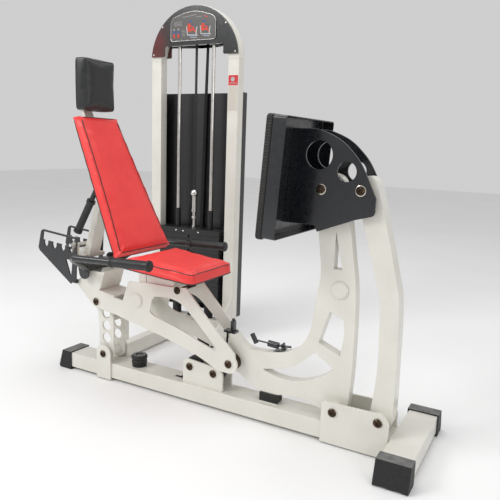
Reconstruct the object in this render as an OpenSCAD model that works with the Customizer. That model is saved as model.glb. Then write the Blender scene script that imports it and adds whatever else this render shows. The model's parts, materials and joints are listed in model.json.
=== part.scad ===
// Seated leg press with a weight stack tower beside the seat.
// X runs along the base rail, from the backrest (-X) to the footplate (+X).
// Y runs from the rail (-Y) to the weight tower (+Y). Z is up, the floor is Z = 0.

/* [Base] */
// Width of the base rail and of the front cross tube
rail_w = 100; // [90:1:110]
// Height of the base rail
rail_h = 64; // [60:1:66]
// Height of the rail's underside above the floor
rail_z = 12; // [12:1:14]
// Wall of the square tubes
tube_wall = 4; // [3:1:5]

/* [Plates] */
// Thickness of the laser-cut side plates
plate_t = 8; // [6:1:8]
// Thickness of the press arm across the machine
arm_t = 40; // [36:1:40]
// Radius of the pivot bolts
pivot_r = 10; // [8:1:10]
// Running clearance of a pivot, on the radius
pivot_gap = 0.05; // [0.02:0.01:0.09]

/* [Tower] */
// Outer width of the weight tower
tower_w = 531; // [525:1:535]
// Width of a tower column
column_w = 61; // [58:1:61]
// Depth of a tower column
column_d = 50; // [48:1:50]
// Height of the centre of the tower's round top
arch_z = 1416; // [1380:5:1450]
// Radius of a guide rod
rod_r = 9.5; // [8:0.5:10]

/* [Weight stack] */
// Number of weight plates under the head plate
plate_count = 15; // [12:1:15]
// Number of plates that the selector pin lifts
lifted_count = 5; // [3:1:6]
// Pitch of the weight plates
plate_pitch = 24; // [22:1:24]

/* [Seat] */
// Slope of the seat and of the adjuster rack, in degrees
seat_slope = 5; // [4:0.5:6]
// Lean of the backrest from the vertical, in degrees
back_lean = 25.6; // [24:0.2:27]
// Distance between two notches of the adjuster rack
notch_pitch = 50; // [46:1:52]

/* [Hidden] */
$fn = 48;

// The rail's centre plane lies this far in front of the origin.
rail_y = -270.5;
rail_top = rail_z + rail_h;
cream = [0.86, 0.85, 0.80];
black = [0.09, 0.09, 0.10];
dark = [0.16, 0.16, 0.17];
chrome = [0.80, 0.80, 0.82];
red = [0.90, 0.16, 0.15];
bolt_brown = [0.24, 0.19, 0.15];

// Pivots as [x, z].
link_foot = [-487, 114];
link_head = [-518, 338];
nose_pivot = [130, 204];
arm_foot = [541, 120];
upright_foot = [698, 125];
arm_head = [454, 870];
upright_head = [587, 873];
open_link_gap = 11.5;
open_upright_gap = 1.6;

// Side plates, as distances from the rail's centre plane.
bracket_in = rail_w / 2;
bracket_out = bracket_in + plate_t;
seat_plate_out = 62;
link_plate_out = 38;
gusset_out = 54;
bolt_head_r = 15;
bolt_head_h = 8;

// Tower.
tower_x = -579.5;
tower_y = 715;
column_in = tower_w / 2 - column_w;
arch_r = tower_w / 2;
rod_y = 740;
rod_dx = 103.5;
stack_w = 377;
stack_y0 = 692;
stack_d = 90;
stack_z0 = 168;
stack_top = stack_z0 + plate_count * plate_pitch;
head_h = 30;
cable_r = 4;

// ---------- shared shapes ----------

// Points of an arc in degrees, from angle a to angle b.
function arc_pts(c, r, a, b, n = 12) =
    [for (i = [0 : n]) c + r * [cos(a + (b - a) * i / n), sin(a + (b - a) * i / n)]];

// One point of a Catmull-Rom curve between p1 and p2.
function curve_pt(p0, p1, p2, p3, t) =
    0.5 * (2 * p1 + (p2 - p0) * t + (2 * p0 - 5 * p1 + 4 * p2 - p3) * t * t
    + (3 * p1 - p0 - 3 * p2 + p3) * t * t * t);

// A smooth open curve through the points p, with n steps between two points.
function curve_pts(p, n = 5) = [
    for (i = [0 : len(p) - 2]) for (k = [0 : n - 1])
        curve_pt(p[max(i - 1, 0)], p[i], p[i + 1], p[min(i + 2, len(p) - 1)], k / n),
    p[len(p) - 1]
];

// Moves the machine's own frame, whose Y = 0 is the rail's centre plane.
module machine() { translate([0, rail_y, 0]) children(); }

// Extrudes an [x, z] outline along Y, from y0 by t.
module along_y(y0, t) { translate([0, y0 + t, 0]) rotate([90, 0, 0]) linear_extrude(t) children(); }

// Extrudes a [y, z] outline along X, from x0 by t.
module along_x(x0, t) {
    translate([x0, 0, 0]) rotate([90, 0, 90]) linear_extrude(t) children();
}

// A round bar or hole along Y, centred on y.
module bar_y(p, r, y0, y1) { translate([p[0], y1, p[1]]) rotate([90, 0, 0]) cylinder(r = r, h = y1 - y0); }

// A box given by its low and high corners.
module block(lo, hi) { translate(lo) cube(hi - lo); }

// A hollow rectangular tube between two corners, open along one axis (0 = X, 1 = Y, 2 = Z).
module box_tube(lo, hi, axis, wall = tube_wall) {
    inset = [for (i = [0 : 2]) i == axis ? -1 : wall];
    difference() {
        block(lo, hi);
        block(lo + inset, hi - inset);
    }
}

// Both side plates of one outline, mirrored about the centre plane.
module side_plates(out, t) {
    along_y(-out, t) children();
    along_y(out - t, t) children();
}

// A pivot bolt with a domed head at each end; y1 is where the heads seat.
module pivot_bolt(p, y1, r = pivot_r) {
    bar_y(p, r, -y1 - 0.5, y1 + 0.5);
    for (s = [-1, 1])
        translate([p[0], s * y1, p[1]]) rotate([-90 * s, 0, 0]) bolt_head();
}

// A button head with a hexagon socket.
module bolt_head() {
    difference() {
        union() {
            cylinder(r = bolt_head_r, h = bolt_head_h * 0.45);
            translate([0, 0, bolt_head_h * 0.45])
                cylinder(r1 = bolt_head_r, r2 = bolt_head_r * 0.62, h = bolt_head_h * 0.55);
        }
        translate([0, 0, bolt_head_h - 4]) cylinder(r = 5, h = 5, $fn = 6);
    }
}

// A cable of radius r swept through the points p; each joint is a ball.
module rod_between(a, b, r) {
    d = b - a;
    len_d = norm(d);
    translate(a) rotate([0, acos(d[2] / len_d), atan2(d[1], d[0])]) cylinder(r = r, h = len_d, $fn = 32);
}
module cable(p, r) {
    for (i = [0 : len(p) - 2]) rod_between(p[i], p[i + 1], r);
    for (i = [1 : len(p) - 2]) translate(p[i]) sphere(r = 1.03 * r, $fn = 32);
}

// ---------- base ----------

cross_x0 = 740;
cross_x1 = cross_x0 + rail_w;
module base_rail() color(cream) machine() difference() {
    box_tube([-722, -rail_w / 2, rail_z], [cross_x0, rail_w / 2, rail_top], 0);
    block([tower_x - 18, bracket_in - tube_wall - 1, 30], [tower_x + 18, bracket_in + 1, 58]);
    block([-150, -9, rail_top - tube_wall - 1], [-30, 9, rail_top + 1]);
}

module front_cross_tube() color(cream) machine()
    box_tube([cross_x0, -188, rail_z], [cross_x1, 248, rail_top], 1);

// A rubber cap over a tube end: its outer face slopes and its sole has three feet.
cap_wall = 5;
module foot_cap(w) {
    reach = 50;
    slant = 21;
    difference() {
        along_x(-w / 2 - cap_wall, w + 2 * cap_wall)
            polygon([[-reach, rail_top + cap_wall], [0, rail_top + cap_wall],
                [slant, rail_z - 4], [slant - 5, 0], [-reach, 0]]);
        block([-w / 2, -reach - 1, rail_z], [w / 2, -7, rail_top]);
        for (s = [-1, 1])
            translate([s * w * 0.24, 0, -6]) rotate([90, 0, 0]) cylinder(r = 14, h = 200, center = true);
    }
}
module foot_caps() color(dark) machine() {
    translate([(cross_x0 + cross_x1) / 2, 255, 0]) foot_cap(rail_w);
    translate([(cross_x0 + cross_x1) / 2, -195, 0]) rotate([0, 0, 180]) foot_cap(rail_w);
    translate([-729, 0, 0]) rotate([0, 0, 90]) foot_cap(rail_w);
}

// Plates that carry the press arm and the rear upright.
front_plate_x0 = 500;
front_corner_r = 37;
module front_bracket() color(cream) machine() difference() {
    side_plates(bracket_out, plate_t)
        polygon(concat([[front_plate_x0, 5], [front_plate_x0, 140]],
            arc_pts([front_plate_x0 + 14, 140], 14, 180, 90, 6),
            arc_pts([upright_foot[0], 119], front_corner_r, 90, 0),
            [[upright_foot[0] + front_corner_r, 60]],
            arc_pts([upright_foot[0] + 17, 25], 20, 0, -90, 6)));
    for (p = [arm_foot, upright_foot]) bar_y(p, pivot_r, -70, 70);
}

module rear_bracket() color(cream) machine() difference() {
    side_plates(bracket_out, plate_t)
        polygon(concat(arc_pts(link_foot, 38, 180, 0, 24),
            [[link_foot[0] + 38, 4], [link_foot[0] - 38, 4]]));
    bar_y(link_foot, pivot_r, -70, 70);
}

// Plates on top of the rail that hold the two cable pulleys.
pulley_a = [-58, 146];
pulley_b = [50, 140];
cable_plate_out = 30;
module cable_bracket() color(cream) machine() difference() {
    side_plates(cable_plate_out + plate_t, plate_t)
        polygon(concat([[-90, rail_top]], arc_pts([-64, 150], 26, 180, 96, 8),
            arc_pts([66, 138], 26, 84, 0, 8), [[92, rail_top]]));
    for (p = [pulley_a, pulley_b]) bar_y(p, 8, -60, 60);
}

module base_pivot_bolts() color(bolt_brown) machine() {
    for (p = [arm_foot, upright_foot, link_foot]) pivot_bolt(p, bracket_out);
    for (p = [pulley_a, pulley_b]) pivot_bolt(p, cable_plate_out + plate_t, 8);
    // The base pulley's axle and the top pulley's axle.
    base_pulley_place() cylinder(r = 6, h = 76, center = true);
    top_pulley_place() rotate([90, 0, 0]) cylinder(r = 6, h = 50, center = true);
}

// Steel block and rubber pad on which the press arm rests.
module arm_stop() machine() {
    color(cream) block([243, -25, rail_top], [315, 25, 94]);
    color(dark) block([243, -25, 94], [315, 25, 112.7]);
}

bumper_at = [-339, 0];
collar_h = 12;
// Steel seat and rubber stop under the seat frame; the rubber has a groove and a dished top.
module bumper() machine() translate([bumper_at[0], bumper_at[1], rail_top]) {
    color(cream) cylinder(r = 30, h = collar_h);
    color(dark) translate([0, 0, collar_h]) rotate_extrude()
        polygon([[0, 0], [30, 0], [32, 3], [32, 12], [27, 16], [27, 18], [33, 22], [33, 32], [28, 38],
            [16, 38], [13, 33], [0, 33]]);
}

// ---------- weight tower ----------

strut_x0 = -604;
strut_x1 = -554;
module tower_strut() color(cream) machine()
    box_tube([strut_x0, bracket_in, rail_z], [strut_x1, tower_y, rail_top], 1);

// The cross beam under the columns, slotted for the base pulley, with a bearing block on each side of it.
module tower_base_beam() color(cream) machine() difference() {
    union() {
        box_tube([tower_x - tower_w / 2, tower_y, rail_z],
            [tower_x + tower_w / 2, tower_y + column_d, rail_top], 0);
        for (s = [-1, 1])
            block([tower_x + s * 30 - 8, base_at[1] - 15, rail_top - 1],
                [tower_x + s * 30 + 8, base_at[1] + 7, 98]);
    }
    block([tower_x - 20, tower_y - 1, 24], [tower_x + 20, tower_y + column_d + 1, rail_top + 1]);
    base_pulley_place() cylinder(r = 6, h = 100, center = true);
}

foot_x0 = tower_x + column_in;
// The foot tube in front of the right column, and the gusset that braces the column on it.
module tower_foot() color(cream) machine() {
    box_tube([foot_x0, 500, rail_z], [foot_x0 + column_w, tower_y, rail_top], 1);
    along_x(tower_x + tower_w / 2 - plate_t, plate_t)
        polygon([[tower_y, rail_top], [tower_y, 208], [tower_y - 12, 208], [tower_y - 150, rail_top]]);
}

module tower_rubber_feet() color(dark) machine() {
    block([foot_x0 - 3, 492, 0], [foot_x0 + column_w + 3, 560, rail_z]);
    block([foot_x0 - 3, 492, rail_z], [foot_x0 + column_w + 3, 500, rail_top + 3]);
    for (s = [-1, 1])
        translate([tower_x + s * (column_in + column_w / 2), tower_y + column_d / 2, 0])
            cylinder(r = 24, h = rail_z);
}

module column(side) {
    x0 = tower_x + (side < 0 ? -tower_w / 2 : column_in);
    box_tube([x0, tower_y, rail_top], [x0 + column_w, tower_y + column_d, arch_z], 2);
}
module left_column() color(cream) machine() column(-1);
module right_column() color(cream) machine() column(1);

module half_ring(r0, r1, z) polygon(concat(arc_pts([tower_x, z], r1, 0, 180, 48),
    arc_pts([tower_x, z], r0, 180, 0, 48)));
module tower_arch() color(cream) machine() difference() {
    along_y(tower_y, column_d) half_ring(column_in, arch_r, arch_z);
    along_y(tower_y + tube_wall, column_d - 2 * tube_wall)
        half_ring(column_in + tube_wall, arch_r - tube_wall, arch_z - 0.01);
}

// Moulded cover of the round top: two side lobes and a straight lower edge.
cover_r = arch_r - 3;
lobe_z = 1439;
cover_z = 1490;
module cover_outline(r) {
    drop = lobe_z - arch_z;
    a = asin(drop / r);
    polygon(concat(arc_pts([tower_x, arch_z], r, a, 180 - a, 48),
        arc_pts([tower_x - 186, lobe_z + 8], 8, 270, 360, 4),
        arc_pts([tower_x - 170, cover_z - 8], 8, 180, 90, 4),
        arc_pts([tower_x + 170, cover_z - 8], 8, 90, 0, 4),
        arc_pts([tower_x + 186, lobe_z + 8], 8, 180, 270, 4)));
}
module front_arch_cover() color(black) machine() {
    along_y(tower_y - 10, 10) cover_outline(cover_r);
    // Lower lip that closes the cover under the placard.
    block([tower_x - 150, tower_y, cover_z], [tower_x + 150, tower_y + 12, cover_z + 4]);
}
// The rear cover has a slot and a hood for the back of the top pulley.
hood_x0 = tower_x - 22;
hood_x1 = tower_x + 58;
hood_y1 = 814;
hanger_z = 1598;
module rear_arch_cover() color(black) machine() {
    difference() {
        along_y(tower_y + column_d, 8) cover_outline(cover_r);
        block([hood_x0 + 2, tower_y, cover_z - 1], [hood_x1 - 2, hood_y1, hanger_z + 6]);
    }
    difference() {
        block([hood_x0, tower_y + column_d + 8, cover_z], [hood_x1, hood_y1, hanger_z + 8]);
        block([hood_x0 + 2, tower_y, cover_z - 1], [hood_x1 - 2, hood_y1 - 2, hanger_z + 6]);
    }
}

module placard() color([0.30, 0.30, 0.31]) machine() along_y(tower_y - 14, 4)
    polygon(concat(
        arc_pts([tower_x + 122, 1525], 15, 0, -80, 6),
        arc_pts([tower_x - 122, 1525], 15, 260, 180, 6),
        curve_pts([[tower_x - 137, 1600], [tower_x - 110, 1628], [tower_x, 1650], [tower_x + 110, 1628],
            [tower_x + 137, 1600]], 6)));

// A shallow sheet tray behind the stack.
shroud_z0 = 100;
shroud_z1 = 1262;
shroud_y1 = 805;
module rear_shroud() color(black) machine() {
    x0 = tower_x - tower_w / 2;
    x1 = tower_x + tower_w / 2;
    block([x0, shroud_y1 - 2, shroud_z0], [x1, shroud_y1, shroud_z1]);
    block([x0, tower_y + column_d, shroud_z0], [x0 + 2, shroud_y1 - 2, shroud_z1]);
    block([x1 - 2, tower_y + column_d, shroud_z0], [x1, shroud_y1 - 2, shroud_z1]);
}

module guide_rods() color(chrome) machine() for (s = [-1, 1])
    translate([tower_x + s * rod_dx, rod_y, rail_top]) cylinder(r = rod_r, h = cover_z - rail_top + 30);

module stack_buffers() color(dark) machine() for (s = [-1, 1])
    translate([tower_x + s * rod_dx, rod_y, rail_top]) difference() {
        cylinder(r = 24, h = stack_z0 - rail_top);
        translate([0, 0, -1]) cylinder(r = rod_r, h = stack_z0);
    }

// One weight plate with its guide holes, its stem hole and the selector pin hole.
stem_r = 12;
pin_r = 5;
module weight_plate(i) {
    z0 = stack_z0 + i * plate_pitch;
    difference() {
        block([tower_x - stack_w / 2, stack_y0, z0],
            [tower_x + stack_w / 2, stack_y0 + stack_d, z0 + plate_pitch - 1]);
        for (s = [-1, 1])
            translate([tower_x + s * rod_dx, rod_y, z0 - 1]) cylinder(r = rod_r + 1.5, h = plate_pitch + 2);
        translate([tower_x, rod_y, z0 - 1]) cylinder(r = stem_r + 1.5, h = plate_pitch + 2);
        translate([tower_x, stack_y0 - 1, z0 + plate_pitch / 2]) rotate([-90, 0, 0])
            cylinder(r = pin_r + 1, h = rod_y - stack_y0);
    }
}
first_lifted = plate_count - lifted_count;
module resting_plates() color(dark) machine() for (i = [0 : first_lifted - 1]) weight_plate(i);
module lifted_plates() color(dark) machine() for (i = [first_lifted : plate_count - 1]) weight_plate(i);

// The head plate with its two guide sleeves.
sleeve_h = 100;
module head_plate() machine() {
    color(black) difference() {
        block([tower_x - stack_w / 2, stack_y0, stack_top],
            [tower_x + stack_w / 2, stack_y0 + stack_d, stack_top + head_h]);
        for (s = [-1, 1]) translate([tower_x + s * rod_dx, rod_y, stack_top - 1])
            cylinder(r = 14, h = head_h + 2);
        translate([tower_x, rod_y, stack_top - 1]) cylinder(r = stem_r, h = head_h + 2);
    }
    color(chrome) for (s = [-1, 1]) translate([tower_x + s * rod_dx, rod_y, stack_top]) difference() {
        cylinder(r = 14, h = head_h + sleeve_h);
        translate([0, 0, -1]) cylinder(r = rod_r + 0.06, h = head_h + sleeve_h + 2);
    }
}

// The selector stem: a bar with a pin hole at each plate.
module selector_stem() color(chrome) machine() difference() {
    translate([tower_x, rod_y, stack_z0 + 2]) cylinder(r = stem_r, h = stack_top + head_h + 12 - stack_z0);
    for (i = [0 : plate_count - 1])
        translate([tower_x, rod_y - 20, stack_z0 + (i + 0.5) * plate_pitch]) rotate([-90, 0, 0])
            cylinder(r = pin_r + 0.06, h = 40);
}

// Turnbuckle, sleeve and ball that join the cable to the stem.
coupler_z = stack_top + head_h + 14;
module cable_coupler() machine() translate([tower_x, rod_y, coupler_z]) {
    color(chrome) {
        cylinder(r = 7, h = 38);
        translate([0, 0, 38]) cylinder(r = 13, h = 10, $fn = 6);
        translate([0, 0, 48]) cylinder(r = 9, h = 26);
        translate([0, 0, 74]) cylinder(r = 15, h = 10);
    }
    color(black) {
        translate([0, 0, 84]) cylinder(r = 12, h = 72);
        translate([0, 0, 172]) sphere(r = 20.5);
    }
}
ball_top = coupler_z + 193;

// The selector pin with its round knob.
pin_z = stack_z0 + (first_lifted + 0.5) * plate_pitch;
module selector_pin() machine() translate([tower_x, rod_y + 10, pin_z]) rotate([90, 0, 0]) {
    color(chrome) cylinder(r = pin_r, h = rod_y + 10 - stack_y0 + 12);
    color(red) translate([0, 0, rod_y + 10 - stack_y0 + 6]) cylinder(r = 14, h = 22);
}

// ---------- belt and cable run ----------

// A flanged belt pulley of radius r, its axis along Z.
belt_w = 26;
belt_t = 3;
pulley_w = 34;
module belt_pulley(r, bore) difference() {
    rotate_extrude($fn = 64) polygon([[0, -pulley_w / 2], [r + 8, -pulley_w / 2], [r + 8, -pulley_w / 2 + 3],
        [r, -pulley_w / 2 + 3], [r, pulley_w / 2 - 3], [r + 8, pulley_w / 2 - 3], [r + 8, pulley_w / 2],
        [0, pulley_w / 2]]);
    cylinder(r = bore + pivot_gap, h = pulley_w + 2, center = true);
}

// A grooved cable sheave, its axis along Z.
module sheave(r, bore, w) difference() {
    rotate_extrude($fn = 64) polygon([[0, -w / 2], [r + 3, -w / 2], [r + 3, -w / 2 + 3],
        [r - cable_r - 0.7, -2], [r - cable_r - 0.7, 2], [r + 3, w / 2 - 3], [r + 3, w / 2], [0, w / 2]]);
    cylinder(r = bore + pivot_gap, h = w + 2, center = true);
}

// The top pulley is turned so that the falling belt clears the stack.
top_dx = 34;
top_dy = 54;
top_reach = norm([top_dx, top_dy]) / 2;
top_r = top_reach - belt_t / 2 - 0.4;
top_turn = atan2(top_dy, top_dx);
top_z = 1548;
base_r = 34;
base_at = [tower_x, 758, 84];
fall_at = [tower_x + top_dx, rod_y + top_dy];
module top_pulley_place() translate([tower_x + top_dx / 2, rod_y + top_dy / 2, top_z])
    rotate([0, 0, top_turn]) children();
module base_pulley_place() translate(base_at) rotate([0, 90, 0]) children();
module top_pulley() color(dark) machine() top_pulley_place() rotate([90, 0, 0]) belt_pulley(top_r, 6);
module base_pulley() color(dark) machine() base_pulley_place() belt_pulley(base_r, 6);
sheave_r = 30;
module rear_cable_pulley() color(dark) machine()
    translate([pulley_a[0], 0, pulley_a[1]]) rotate([90, 0, 0]) sheave(sheave_r, 8, 22);
module front_cable_pulley() color(dark) machine()
    translate([pulley_b[0], 0, pulley_b[1]]) rotate([90, 0, 0]) sheave(sheave_r, 8, 22);

// Cheeks that hold the top pulley under its hanger, and clamps at the tops of the guide rods.
module top_brackets() color(dark) machine() {
    top_pulley_place() for (s = [-1, 1]) difference() {
        translate([-14, s * 20.5 - 2, -14]) cube([28, 4, hanger_z - top_z + 14]);
        translate([0, s * 20.5, 0]) rotate([90, 0, 0]) cylinder(r = 6, h = 10, center = true);
    }
    block([tower_x - 14, tower_y, hanger_z], [tower_x + 50, hood_y1 - 2, hanger_z + 5]);
    for (s = [-1, 1]) difference() {
        block([tower_x + s * rod_dx - 17, tower_y, cover_z + 6],
            [tower_x + s * rod_dx + 17, tower_y + column_d, cover_z + 24]);
        translate([tower_x + s * rod_dx, rod_y, 0]) cylinder(r = rod_r, h = 2000);
    }
}

// A flat belt along a curve in the plane of its pulley: r is to the belt's middle.
module belt_arc(r, a, b, n) {
    w = belt_t / 2;
    linear_extrude(belt_w, center = true)
        polygon(concat(arc_pts([0, 0], r + w, a, b, n), arc_pts([0, 0], r - w, b, a, n)));
}

// The fall of the belt: it turns and leans from the top pulley's plane to the base pulley's.
base_reach = base_r + belt_t / 2 + 0.6;
fall_foot = [tower_x, base_at[1] + base_reach, base_at[2]];
module belt_fall() {
    top_p = [fall_at[0], fall_at[1], top_z];
    d = top_p - fall_foot;
    translate(fall_foot) rotate([0, acos(d[2] / norm(d)), atan2(d[1], d[0])])
        rotate([0, 0, -atan2(d[1], d[0])]) translate([0, 0, -belt_t])
            linear_extrude(norm(d) + 2 * belt_t, twist = 90 - top_turn, slices = 24)
                square([belt_w, belt_t], center = true);
}
module drive_belt() color(black) machine() {
    top_pulley_place() rotate([90, 0, 0]) belt_arc(top_reach, 0, 180, 24);
    belt_fall();
    base_pulley_place() belt_arc(base_reach, -2, 90, 12);
    block([tower_x - belt_w / 2, 60, base_at[2] - base_reach - belt_t / 2],
        [tower_x + belt_w / 2, base_at[1], base_at[2] - base_reach + belt_t / 2]);
}

// The run from the top pulley down to the ball above the stack.
module stack_belt() color(black) machine()
    translate([tower_x, rod_y, ball_top]) rotate([0, 0, top_turn - 90])
        translate([-belt_w / 2, -belt_t / 2, 0])
        cube([belt_w, belt_t, top_z - ball_top - 2]);

// The cable in the rail, from the belt's end to the pulleys under the seat, and up to the arm.
function sheave_arc(c, a, b, n) = [for (i = [0 : n])
    [c[0] + sheave_r * cos(a + (b - a) * i / n), 0, c[1] + sheave_r * sin(a + (b - a) * i / n)]];
module rail_cable() color(black) machine() {
    z0 = base_at[2] - base_reach;
    cable(concat([[tower_x, 59, z0], [tower_x, 40, z0], [tower_x + 12, 12, z0], [tower_x + 40, 0, z0],
        [-170, 0, z0 + 2], [-88, 0, 96]],
        sheave_arc(pulley_a, 222, 285, 4), sheave_arc(pulley_b, 262, 352, 6)), cable_r);
}
arm_cable_foot = [pulley_b[0] + sheave_r * cos(8), pulley_b[1] - sheave_r * sin(8)];
arm_cable_head = [87, 306];
module arm_cable() color(black) machine()
    rod_between([arm_cable_foot[0] + 0.6, 0, arm_cable_foot[1] + 2],
        [arm_cable_head[0], 0, arm_cable_head[1] - 2], cable_r);

// ---------- press arm ----------

boss_out = bracket_in - 0.4;
module arm_outline() polygon(concat(
    arc_pts([478, 872], 50, 0, 180, 16),
    curve_pts([[428, 872], [441, 721], [456, 592], [446, 502], [432, 391], [403, 325], [351, 286], [276, 268],
        [205, 263], [160, 276], [128, 306]], 5),
    [[108, 306], [96, 250]],
    arc_pts(nose_pivot, 36, 180, 285, 10),
    [[185, 141], [238, 113], [316, 113]],
    curve_pts([[316, 113], [361, 122], [415, 121], [488, 104]], 4),
    arc_pts(arm_foot, 38, 230, 330, 10),
    curve_pts([[583, 162], [588, 263], [588, 419], [582, 549], [566, 654], [549, 761], [528, 872]], 4)));

module arm_slot() polygon([[502, 731], [500, 606], [531, 606]]);
module arm_window() polygon(concat([[496, 458]], arc_pts([541, 430], 8, 60, 0, 3), [[552, 386], [542, 309]],
    [[462, 341]]));
module arm_crescent() polygon(concat([[253, 199]],
    curve_pts([[309, 213], [354, 227], [397, 253], [446, 300]], 5),
    curve_pts([[456, 300], [516, 261], [512, 248]], 3),
    curve_pts([[481, 222], [430, 196], [375, 181], [311, 181], [262, 194]], 4)));

module press_arm() color(cream) machine() difference() {
    union() {
        along_y(-arm_t / 2, arm_t) arm_outline();
        bar_y(arm_foot, 25, -boss_out, boss_out);
        bar_y(arm_head, 22, -gusset_out + plate_t + 0.4, gusset_out - plate_t - 0.4);
    }
    along_y(-arm_t, 2 * arm_t) arm_slot();
    along_y(-arm_t, 2 * arm_t) arm_window();
    along_y(-arm_t, 2 * arm_t) arm_crescent();
    bar_y([528, 537], 30, -arm_t, arm_t);
    for (p = [arm_foot, nose_pivot, arm_head]) bar_y(p, pivot_r + pivot_gap, -60, 60);
}

// Round cross tube with a black plug at each end.
module capped_tube(p, reach) {
    color(cream) difference() {
        bar_y(p, 30, -reach, reach);
        bar_y(p, 26, -reach - 1, -reach + 12);
        bar_y(p, 26, reach - 12, reach + 1);
    }
    color(black) for (s = [-1, 1]) bar_y(p, 26, s * (reach - 5) - 7, s * (reach - 5) + 7);
}
module arm_cross_tube() machine() capped_tube([528, 537], arm_t / 2 + 4);

// Range limiter on top of the arm: anchor, rod, spring barrel, bracket and bolts.
module arm_hardware() machine() {
    color(cream) block([78, -15, 306], [126, 15, 314]);
    color(cream) block([104, -9, 314], [118, 9, 352]);
    color(bolt_brown) translate([111, 0, 352]) cylinder(r = 7, h = 8, $fn = 6);
    color(black) translate([312, 0, 272]) rotate([0, -13.5, 0]) {
        block([-22, -14, 6], [22, 14, 8]);
        block([12, -14, 7], [16, 14, 30]);
    }
    color(black) rod_between([302, 0, 292], [262, 0, 294], 12);
    color(chrome) rod_between([352, 0, 297], [300, 0, 292], 4);
    color(black) rod_between([262, 0, 294], [212, 0, 296], 3);
    color(black) rod_between([212, 0, 284], [192, 0, 318], 9);
}

// ---------- rear upright ----------

module rear_upright() color(cream) machine() difference() {
    union() {
        along_y(-30, 60) upright_outline();
        bar_y(upright_foot, 25, -boss_out, boss_out);
        bar_y(upright_head, 24, -gusset_out + plate_t + 0.4, gusset_out - plate_t - 0.4);
    }
    bar_y(upright_foot, pivot_r + pivot_gap, -60, 60);
    bar_y(upright_head, pivot_r + open_upright_gap, -60, 60);
}
module upright_outline() polygon(concat(
        arc_pts(upright_foot, 38, 180, 360, 12),
        curve_pts([[736, 125], [738, 206], [735, 341], [734, 430], [727, 540], [717, 586]], 4),
        [[690, 694], [636, 890]],
        arc_pts([600, 884], 36, 10, 170, 8),
        [[565, 872], [596, 764], [637, 630]],
        curve_pts([[661, 545], [670, 490], [672, 420], [675, 300], [668, 200], [660, 125]], 4)));

// ---------- foot carriage ----------

foot_lean = 4;
foot_low = [293, 713];
foot_len = 388;
foot_half = 200;
foot_deep = 46;
foot_floor = 28;
foot_back_low = foot_low[0] + foot_floor + 3;
foot_back_high = foot_low[0] + foot_floor + 24.5;
module gusset_outline() polygon(concat(
    [[foot_back_low, 752], [434, 752], [447, 730], [533, 764], [574, 780]],
    arc_pts([617, 812], 20, 300, 380, 6),
    curve_pts([[637, 850], [587, 950], [542, 1003], [498, 1036], [436, 1060], [388, 1062]], 5),
    [[foot_back_high, 1062]]));
module foot_gussets() color(black) machine() difference() {
    side_plates(gusset_out, plate_t) gusset_outline();
    bar_y([441, 979], 46, -70, 70);
    bar_y([537, 930], 32, -70, 70);
    for (p = [arm_head, upright_head]) bar_y(p, pivot_r, -70, 70);
}

// Folded tray of the footplate, in its own frame: X is its thickness, Z runs up its face.
module foot_place() machine() translate([foot_low[0], 0, foot_low[1]]) rotate([0, foot_lean, 0]) children();
module foot_face(x0, x1, half, z0, z1, r) {
    along_x(x0, x1 - x0) polygon(concat(
        arc_pts([half - r, z0 + r], r, -90, 0, 6), arc_pts([half - r, z1 - r], r, 0, 90, 6),
        arc_pts([-half + r, z1 - r], r, 90, 180, 6), arc_pts([-half + r, z0 + r], r, 180, 270, 6)));
}
module footplate() color(black) foot_place() difference() {
    foot_face(24, 24 + foot_deep, foot_half, 0, foot_len, 12);
    foot_face(foot_floor, 26 + foot_deep, foot_half - 4, 4, foot_len - 4, 9);
}
module footplate_pad() color(dark) foot_place() foot_face(0, 23.7, foot_half, -6, foot_len + 2, 14);

// Bolts through the gussets, with spacers between the gussets and what they carry.
module foot_bolts() color(bolt_brown) machine() {
    for (p = [arm_head, upright_head]) pivot_bolt(p, gusset_out);
    // Nuts of the studs that hold the rubber pad, on the tray's floor.
    for (s = [-1, 1]) for (z = [770, 980])
        translate([foot_back_low + 0.2 + (z - 752) * 0.07, s * 130, z]) rotate([0, 90 + foot_lean, 0])
            cylinder(r = 9, h = 8, $fn = 6);
}

// ---------- swing link ----------

module link_outline() polygon(concat(
    arc_pts(link_foot, 38, 180, 360, 16),
    [[-446, 235], [-451, 290], [-484, 345]],
    arc_pts(link_head, 34, 20, 180, 12),
    [[-532, 290], [-525, 235]]));
module swing_link() color(cream) machine() difference() {
    union() {
        side_plates(link_plate_out, plate_t) link_outline();
        bar_y(link_foot, 22, -link_plate_out, link_plate_out);
        // Folded flange on the far plate.
        block([-446, 30, 158], [-438, 49, 285]);
        along_y(-link_plate_out, 2 * link_plate_out)
            polygon([[-500, 250], [-470, 250], [-470, 262], [-500, 262]]);
    }
    for (z = [179, 233, 287]) bar_y([-486, z], 22, -60, 60);
    bar_y(link_foot, pivot_r + pivot_gap, -60, 60);
    bar_y(link_head, pivot_r + open_link_gap, -60, 60);
}

// ---------- seat frame ----------

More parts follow.
